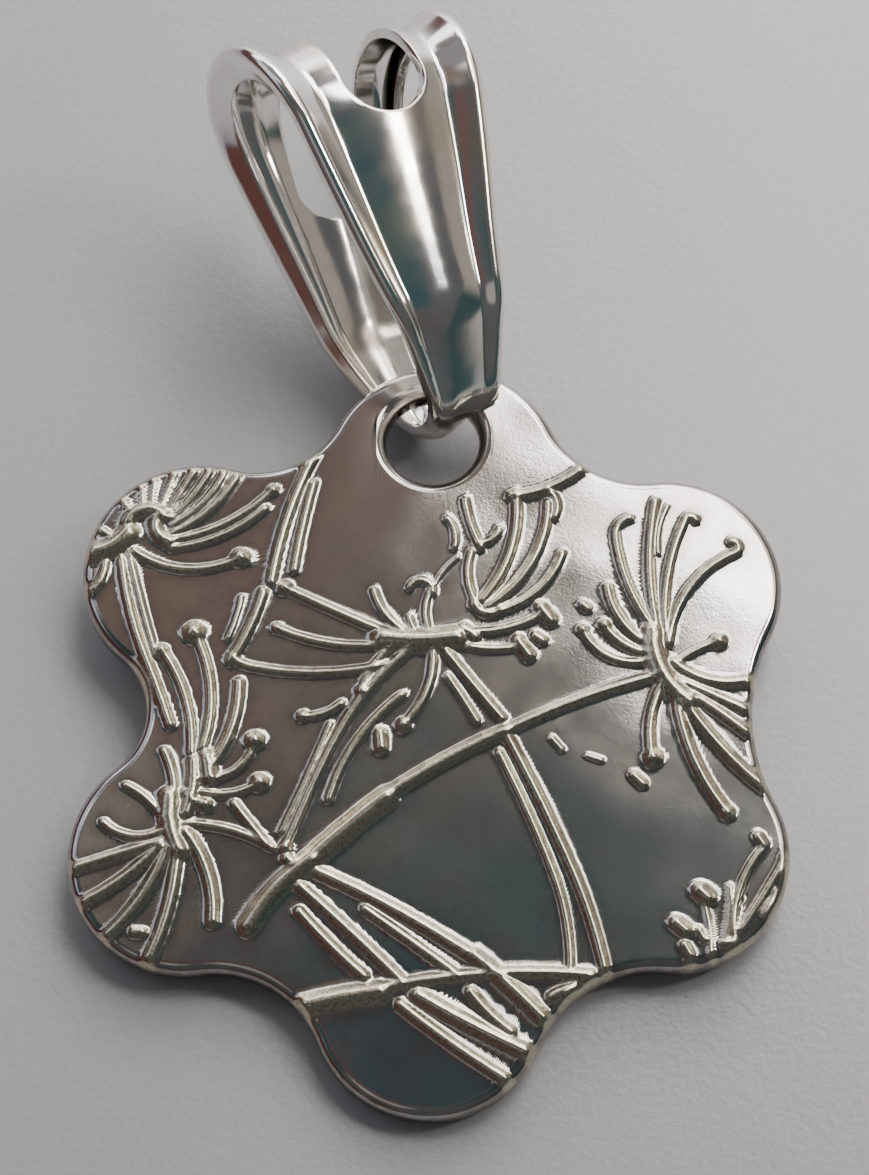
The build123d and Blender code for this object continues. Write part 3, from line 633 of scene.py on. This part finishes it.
# the slot's rows and columns of cells close in to a half circle at each end. Gives each point's place along
# the loop, how much its row is squeezed, how far past the slot's straight part it is, and how far out in it
def roundSlot(count, along, whole, topStart):
    moved = along.copy()
    squeeze = np.ones(len(along))
    past = np.zeros(len(along))
    block = count / bail["slotCells"]
    for side, (reach, radius) in ((-1, bail["slotBack"]), (1, bail["slotFront"])):
        end = topStart + bail["length"] - bail["straightUp"] - reach + radius
        end = whole - end if side == 1 else end
        beyond = (along - end) * side / radius
        part = beyond > 0
        past[part] = beyond[part]
        square = np.maximum(block, beyond)[part]
        squeeze[part] = square / np.maximum(np.hypot(block[part], beyond[part]), slack)
        squeeze[part] += (1 - squeeze[part]) * smoothStep((square - 1) / bail["slotFade"])
        moved[part] = end + side * beyond[part] * squeeze[part] * radius
        block[part] = square
    return moved, squeeze, past, block


# half the strap's width at each point, which differs from leg to leg and from left to right
def halfWidth(column, out, up):
    legs = []
    for widths in (bail["frontWidths"], bail["backWidths"]):
        heights, left, right = np.array(widths).T * mm
        legs.append(np.where(column < 0, atHeight(up, heights, left), atHeight(up, heights, right)))
    return np.where(out <= 0, *legs)


# how far across the strap and how deep under its crest each point lies: the slot's cells, the rest of the
# middle, the lip's slope, its round edge and the side wall
def strapSection(count, half, up, squeeze, past):
    lipEnd = bail["valleyCells"] + bail["lipCells"]
    cornerEnd = lipEnd + bail["cornerCells"]
    heights, *depths = np.array(bail["depths"]).T * mm
    middle, valley, lip, wall = [atHeight(up, heights, depth) for depth in depths]
    heights, tucks = np.array(bail["tucks"]).T

    bottom = half * bail["valley"]
    edge = np.minimum(bail["slotWidth"] / 2, bottom * bail["slotShare"])
    fromSlot = (count - bail["slotCells"]) / (bail["valleyCells"] - bail["slotCells"])
    atSlot = np.where(fromSlot < 0, edge * count / bail["slotCells"], edge + (bottom - edge) * fromSlot)
    inMiddle = bottom * count / bail["valleyCells"]
    inMiddle += (atSlot - inMiddle) * (1 - smoothStep((past - 1) / bail["slotFade"]))
    inMiddle *= squeeze
    rounded = middle + (valley - middle) * np.clip(inMiddle / bottom, 0, 1) ** bail["middleCurve"]

    corner = np.minimum(bail["corner"], np.minimum(wall / 2, bail["cornerShare"] * (half - bottom)))
    onLip = np.clip((count - bail["valleyCells"]) / bail["lipCells"], 0, 1)
    onCorner = np.clip((count - lipEnd) / bail["cornerCells"], 0, 1)
    onWall = np.clip((count - cornerEnd) / bail["wallCells"], 0, 1) * (wall - corner)
    wallTurn = np.radians(90 + atHeight(up, heights * mm, tucks))
    turn = bail["lipTurn"] + (wallTurn - bail["lipTurn"]) * onCorner
    lipAcross = half - corner * (1 - sin(bail["lipTurn"]))
    wallAcross = half - corner * (1 - np.sin(turn)) + np.cos(wallTurn) * onWall
    across = np.where(count > lipEnd, wallAcross, bottom + (lipAcross - bottom) * onLip)
    drop = valley + (lip - valley) * onLip ** bail["lipCurve"]
    drop += corner * (cos(bail["lipTurn"]) - np.cos(turn)) + np.sin(wallTurn) * onWall
    inside = count <= bail["valleyCells"]
    return np.where(inside, inMiddle, across), np.where(inside, rounded, drop)


def makeBail(toTable):
    sides = bail["valleyCells"] + bail["lipCells"] + bail["cornerCells"] + bail["wallCells"]
    bm = bmesh.new()
    bmesh.ops.create_grid(bm, x_segments=2 * sides, y_segments=bail["loopCells"], size=0.5)
    bm.verts.ensure_lookup_table()
    grid = np.array([vert.co[:2] for vert in bm.verts])
    column = np.round(grid[:, 0] * 2 * sides)
    count = np.abs(column)
    stops = loopAt(np.zeros(1))[4]
    whole = 2 * stops[-1]
    along, squeeze, past, block = roundSlot(count, (grid[:, 1] + 0.5) * whole, whole, stops[3])
    out, up, outWay, upWay, _ = loopAt(along)
    across, drop = strapSection(count, halfWidth(column, out, up), up, squeeze, past)
    across *= np.sign(column)
    for i, vert in enumerate(bm.verts):
        vert.co = (across[i], out[i] - outWay[i] * drop[i], up[i] - upWay[i] * drop[i])
    inSlot = [vert for vert, share in zip(bm.verts, block) if share < 1 - slack]
    bmesh.ops.delete(bm, geom=inSlot, context="VERTS")
    bmesh.ops.remove_doubles(bm, verts=bm.verts, dist=0.001 * mm)
    bmesh.ops.recalc_face_normals(bm, faces=bm.faces)
    outer = max(bm.faces, key=lambda face: face.calc_center_median().z)
    if outer.normal.z < 0:
        bmesh.ops.reverse_faces(bm, faces=bm.faces)

    place = Vector((hole["across"] + bail["right"], hole["up"] + bail["up"], -bail["down"]))
    lengthWay = Vector(bail["lengthWay"]).normalized()
    backWay = lengthWay.cross(Vector(bail["widthWay"])).normalized()
    widthWay = backWay.cross(lengthWay)
    hung = Matrix.Translation(place) @ Matrix((widthWay, backWay, lengthWay)).transposed().to_4x4()
    bmesh.ops.transform(bm, matrix=toTable @ hung, verts=bm.verts)
    piece = finishPiece(bm, "corrugatedBail", "bail")
    sheet = piece.modifiers.new("sheet", "SOLIDIFY")
    sheet.thickness = bail["sheet"]
    sheet.offset = -1
    sheet.use_even_offset = True
    rim = piece.modifiers.new("rim", "BEVEL")
    rim.width = bail["rim"]
    rim.segments = 2
    rim.use_clamp_overlap = False
    rim.limit_method = "ANGLE"
    rim.angle_limit = bail["rimTurn"]
    return piece


def newMaterial(name):
    material = bpy.data.materials.new(name)
    material.use_nodes = True
    return material, material.node_tree, material.node_tree.nodes["Principled BSDF"]


# adds a node, sets its options, then its inputs by name or number; a socket as value is linked
def addNode(tree, kind, inputs, **options):
    node = tree.nodes.new(kind)
    for name, value in options.items():
        setattr(node, name, value)
    for name, value in inputs.items():
        if isinstance(value, bpy.types.NodeSocket):
            tree.links.new(value, node.inputs[name])
        else:
            node.inputs[name].default_value = value
    return node


def objectPlace(tree):
    return tree.nodes.new("ShaderNodeTexCoord").outputs["Object"]


# noise whose blotches are this long
def addNoise(tree, place, length, detail, roughness):
    inputs = {"Vector": place, "Scale": 1 / length, "Detail": detail, "Roughness": roughness}
    return addNode(tree, "ShaderNodeTexNoise", inputs).outputs[0]


def mapRange(tree, value, low, high, toLow=0, toHigh=1):
    inputs = {"Value": value, 1: low, 2: high, 3: toLow, 4: toHigh}
    return addNode(tree, "ShaderNodeMapRange", inputs, interpolation_type="SMOOTHSTEP").outputs[0]


def mixColour(tree, share, first, second):
    return addNode(tree, "ShaderNodeMix", {0: share, 6: first, 7: second}, data_type="RGBA").outputs[2]


def calculate(tree, how, first, second):
    return addNode(tree, "ShaderNodeMath", {0: first, 1: second}, operation=how).outputs[0]


# the distance or the dot product of two places
def measure(tree, how, first, second):
    return addNode(tree, "ShaderNodeVectorMath", {0: first, 1: second}, operation=how).outputs["Value"]


def attribute(tree, name):
    return addNode(tree, "ShaderNodeAttribute", {}, attribute_name=name).outputs["Fac"]


def addBump(tree, height, depth, before=None):
    inputs = {"Height": height, "Distance": depth, "Strength": 1}
    if before:
        inputs["Normal"] = before
    return addNode(tree, "ShaderNodeBump", inputs).outputs[0]


# The cast face's silver. A noise has a length, detail and roughness, and a range over which it takes effect
castSilver = {
    "clean": (0.64, 0.62, 0.60, 1),
    "stained": (0.50, 0.46, 0.435, 1),
    "stain": (2.6 * mm, 5, 0.6),
    "stainRange": (0.42, 0.66),
    # dark for tarnish beside the raised lines, and for painted shade there and on the rounded edges and
    # walls
    "darkTarnishAndShade": (0.14, 0.118, 0.11, 1),
    "tarnishAndShadeShare": 0.8,
    "tarnishAndShadeRange": (0.25, 0.65, 0.55, 1),      # the peel's noise from, to, the share of tarnish and painted shade from, to
    "tarnishAndShadeRough": 0.3,
    "polished": (0.63, 0.59, 0.475, 1),
    "flecked": (0.43, 0.36, 0.25, 1),
    "fleckRange": (0.48, 0.66),
    "peel": (0.42 * mm, 3, 0.55),
    "peelDepth": 0.0015 * mm,
    "pits": (0.10 * mm, 2, 0.6),
    "pitDepth": 0.0016 * mm,
    "roughRange": (0.35, 0.75),
    "roughness": (0.08, 0.15),
    "lineRange": (0.2, 1.0),
    "lineRoughness": 0.24,
}


def finishMetal(piece, material, tree, shader, colour, rough, bump):
    shader.inputs["Metallic"].default_value = 1
    tree.links.new(colour, shader.inputs["Base Color"])
    tree.links.new(rough, shader.inputs["Roughness"])
    tree.links.new(bump, shader.inputs["Normal"])
    piece.data.materials.append(material)


def paintFlower(piece):
    material, tree, shader = newMaterial("castSilver")
    place = objectPlace(tree)
    look = castSilver
    stain = addNoise(tree, place, *look["stain"])
    peel = addNoise(tree, place, *look["peel"])
    pits = addNoise(tree, place, *look["pits"])
    polish = attribute(tree, "polish")
    # tarnish and painted shade, made patchy by the peel's noise
    patchy = mapRange(tree, peel, *look["tarnishAndShadeRange"])
    tarnishAndShade = calculate(tree, "MULTIPLY", attribute(tree, "tarnishAndShade"), patchy)
    tarnishAndShade = calculate(tree, "MULTIPLY", tarnishAndShade, look["tarnishAndShadeShare"])
    colour = mixColour(tree, mapRange(tree, stain, *look["stainRange"]), look["clean"], look["stained"])
    colour = mixColour(tree, tarnishAndShade, colour, look["darkTarnishAndShade"])
    line = mixColour(tree, mapRange(tree, pits, *look["fleckRange"]), look["polished"], look["flecked"])
    colour = mixColour(tree, polish, colour, line)
    rough = calculate(tree, "ADD", stain, calculate(tree, "MULTIPLY", tarnishAndShade, look["tarnishAndShadeRough"]))
    rough = mapRange(tree, rough, *look["roughRange"], *look["roughness"])
    onLine = mapRange(tree, polish, *look["lineRange"])
    rough = addNode(tree, "ShaderNodeMix", {0: onLine, 2: rough, 3: look["lineRoughness"]}).outputs[0]
    bump = addBump(tree, peel, look["peelDepth"])
    bump = addBump(tree, pits, look["pitDepth"], bump)
    finishMetal(piece, material, tree, shader, colour, rough, bump)


# The bail's bright silver, with faint ripples and small scratches
brightSilver = {
    "clean": (0.90, 0.885, 0.86, 1),
    "warm": (0.80, 0.73, 0.64, 1),
    "cloud": (3.0 * mm, 4, 0.6),
    "cloudRange": (0.45, 0.70),
    "scratch": (0.25 * mm, 4, 0.7),
    "scratchDepth": 0.0012 * mm,
    "ripple": (1.4 * mm, 1, 0.5),
    "rippleDepth": 0.012 * mm,
    "roughRange": (0.35, 0.70),
    "roughness": (0.10, 0.20),
}


def paintBail(piece):
    material, tree, shader = newMaterial("brightSilver")
    place = objectPlace(tree)
    look = brightSilver
    cloud = addNoise(tree, place, *look["cloud"])
    ripple = addNoise(tree, place, *look["ripple"])
    scratch = addNoise(tree, place, *look["scratch"])
    colour = mixColour(tree, mapRange(tree, cloud, *look["cloudRange"]), look["clean"], look["warm"])
    rough = mapRange(tree, cloud, *look["roughRange"], *look["roughness"])
    bump = addBump(tree, ripple, look["rippleDepth"])
    bump = addBump(tree, scratch, look["scratchDepth"], bump)
    finishMetal(piece, material, tree, shader, colour, rough, bump)


# The camera stands where the photograph was taken from; places are in the flower's face frame
camera = {
    "place": (-0.187 * mm, -28.89 * mm, 90.62 * mm),
    "tilt": 20.5,
    "lens": 85.57,
    "sensor": 36,
}


def addCamera(toTable):
    data = bpy.data.cameras.new("camera")
    data.sensor_width = camera["sensor"]
    data.lens = camera["lens"]
    data.clip_start = 1 * mm
    view = bpy.data.objects.new("camera", data)
    bpy.context.scene.collection.objects.link(view)
    turn = Matrix.Rotation(radians(camera["tilt"]), 4, "X")
    view.matrix_world = toTable @ Matrix.Translation(camera["place"]) @ turn
    bpy.context.scene.camera = view


table = {
    "size": 600 * mm,
    "colour": (0.455, 0.452, 0.468, 1),
    "roughness": 0.33,
    "grain": (0.32 * mm, 3, 0.6),
    "grainDepth": 0.02 * mm,
}


def addSheet(name, place, width, length):
    bm = bmesh.new()
    bmesh.ops.create_grid(bm, x_segments=1, y_segments=1, size=0.5)
    bmesh.ops.scale(bm, vec=(width, length, 1), verts=bm.verts)
    bmesh.ops.translate(bm, vec=place, verts=bm.verts)
    mesh = bpy.data.meshes.new(name)
    bm.to_mesh(mesh)
    bm.free()
    sheet = bpy.data.objects.new(name, mesh)
    bpy.context.scene.collection.objects.link(sheet)
    return sheet


def addFloor():
    floor = addSheet("floor", (0, 0, 0), table["size"], table["size"])
    material, tree, shader = newMaterial("paleTable")
    grain = addNoise(tree, objectPlace(tree), *table["grain"])
    shader.inputs["Base Color"].default_value = table["colour"]
    shader.inputs["Roughness"].default_value = table["roughness"]
    tree.links.new(addBump(tree, grain, table["grainDepth"]), shader.inputs["Normal"])
    floor.data.materials.append(material)


# The room over the table is a soft ceiling, with patches of light and shade. Lengths are millimetres
ceiling = {
    "height": 130,
    "size": 700,
    "colour": (0.10, 0.10, 0.105, 1),
    # the window's sides: the way in across each, how far that way it starts, the width that it fades in over
    "sides": [((0.673, 0.740), 36.5, 5), ((0.45, 0.893), 34, 4), ((0, 1), 23, 4), ((1, 0), -4, 12),
              ((-1, 0), -170, 40)],
    "window": (8.5, 8.3, 7.8, 1),
    # patches under and over the window: middle, inner and outer radius, colour
    "under": [
        ((-190, 70), (50, 150), (0.8, 0.84, 1.0, 1)),
        ((-80, 330), (130, 200), (3.2, 3.2, 3.3, 1)),
        ((-110, -30), (30, 60), (0.05, 0.09, 0.09, 1)),
        ((-50, -85), (25, 45), (0.36, 0.33, 0.32, 1)),
        ((-66, 58), (16, 32), (3.0, 3.0, 3.0, 1)),
        ((-91, 165), (22, 44), (0.22, 0.19, 0.18, 1)),
    ],
    "over": [
        ((125, 95), (45, 90), (1.5, 1.4, 1.2, 1)),
        ((0, 96), (22, 33), (0.27, 0.27, 0.30, 1)),
        ((-50, 90), (40, 60), (0.27, 0.26, 0.265, 1)),
        ((-17, 42), (18, 34), (0.22, 0.165, 0.142, 1)),
        ((2, 26), (8, 22), (0.17, 0.165, 0.148, 1)),
        ((26, 10), (10, 20), (0.148, 0.168, 0.162, 1)),
        ((15, 20), (4, 11), (0.22, 0.215, 0.205, 1)),
        ((6, 4), (12, 28), (0.092, 0.118, 0.12, 1)),
        ((0, -4), (6, 18), (0.058, 0.076, 0.088, 1)),
        ((-34, 16), (6, 16), (0.28, 0.255, 0.22, 1)),
        ((48, -50), (24, 48), (0.045, 0.085, 0.09, 1)),
        ((-22, -18), (6, 22), (0.16, 0.075, 0.07, 1)),
    ],
}

# A long lamp beside the window, looking straight down
lamp = {"place": (117, 15, 128), "turn": radians(21), "width": 56, "length": 15, "watts": 0.065,
        "colour": (1, 0.97, 0.90)}


# soft round patches over a colour
def addPatches(tree, place, colour, patches):
    for (across, up), (inner, outer), patch in patches:
        away = measure(tree, "DISTANCE", place, (across * mm, up * mm, ceiling["height"] * mm))
        colour = mixColour(tree, mapRange(tree, away, inner * mm, outer * mm, 1, 0), colour, patch)
    return colour


def addCeiling():
    sheet = addSheet("ceiling", (0, 0, ceiling["height"] * mm), ceiling["size"] * mm, ceiling["size"] * mm)
    sheet.visible_camera = False
    material, tree, shader = newMaterial("ceilingGlow")
    place = objectPlace(tree)
    window = 1
    for way, start, fade in ceiling["sides"]:
        inward = measure(tree, "DOT_PRODUCT", place, (*way, 0))
        shown = mapRange(tree, inward, start * mm, (start + fade) * mm)
        window = calculate(tree, "MULTIPLY", window, shown)
    colour = addPatches(tree, place, ceiling["colour"], ceiling["under"])
    colour = mixColour(tree, window, colour, ceiling["window"])
    colour = addPatches(tree, place, colour, ceiling["over"])
    shader.inputs["Base Color"].default_value = (0, 0, 0, 1)
    shader.inputs["Specular IOR Level"].default_value = 0
    tree.links.new(colour, shader.inputs["Emission Color"])
    shader.inputs["Emission Strength"].default_value = 1
    sheet.data.materials.append(material)


def addLamp():
    data = bpy.data.lights.new("lamp", "AREA")
    data.shape = "RECTANGLE"
    data.size = lamp["width"] * mm
    data.size_y = lamp["length"] * mm
    data.energy = lamp["watts"]
    data.color = lamp["colour"]
    item = bpy.data.objects.new("lamp", data)
    bpy.context.scene.collection.objects.link(item)
    turn = Matrix.Rotation(lamp["turn"], 4, "Z")
    item.matrix_world = Matrix.Translation(Vector(lamp["place"]) * mm) @ turn


# What stands round the table, by the way that it is looked at, with the ranges over which parts meet
room = {
    "front": (0.10, 0.11, 0.11, 1),
    "behind": (2.0, 2.0, 2.0, 1),
    "behindRange": (-0.5, 0.5),
    "left": (0.11, 0.05, 0.044, 1),
    "leftRange": (-0.2, -0.5),
    "right": (0.35, 0.31, 0.27, 1),
    "rightFront": (0.04, 0.07, 0.075, 1),
    "rightRange": (0.35, 0.65),
    "rightBackRange": (0, 0.25),
}


def addRoom():
    world = bpy.data.worlds.new("room")
    world.use_nodes = True
    tree = world.node_tree
    way = tree.nodes.new("ShaderNodeTexCoord").outputs["Generated"]
    parts = addNode(tree, "ShaderNodeSeparateXYZ", {0: way}).outputs
    across, back = parts["X"], parts["Y"]
    colour = mixColour(tree, mapRange(tree, back, *room["behindRange"]), room["front"], room["behind"])
    colour = mixColour(tree, mapRange(tree, across, *room["leftRange"]), colour, room["left"])
    right = mixColour(tree, mapRange(tree, back, *room["rightBackRange"]), room["rightFront"], room["right"])
    colour = mixColour(tree, mapRange(tree, across, *room["rightRange"]), colour, right)
    tree.links.new(colour, tree.nodes["Background"].inputs["Color"])
    bpy.context.scene.world = world


flower, toTable = makeFlower()
print("flower cast")
corrugatedBail = makeBail(toTable)
print("bail bent")
paintFlower(flower)
paintBail(corrugatedBail)
addCamera(toTable)
addFloor()
addCeiling()
addLamp()
addRoom()
print("scene lit")
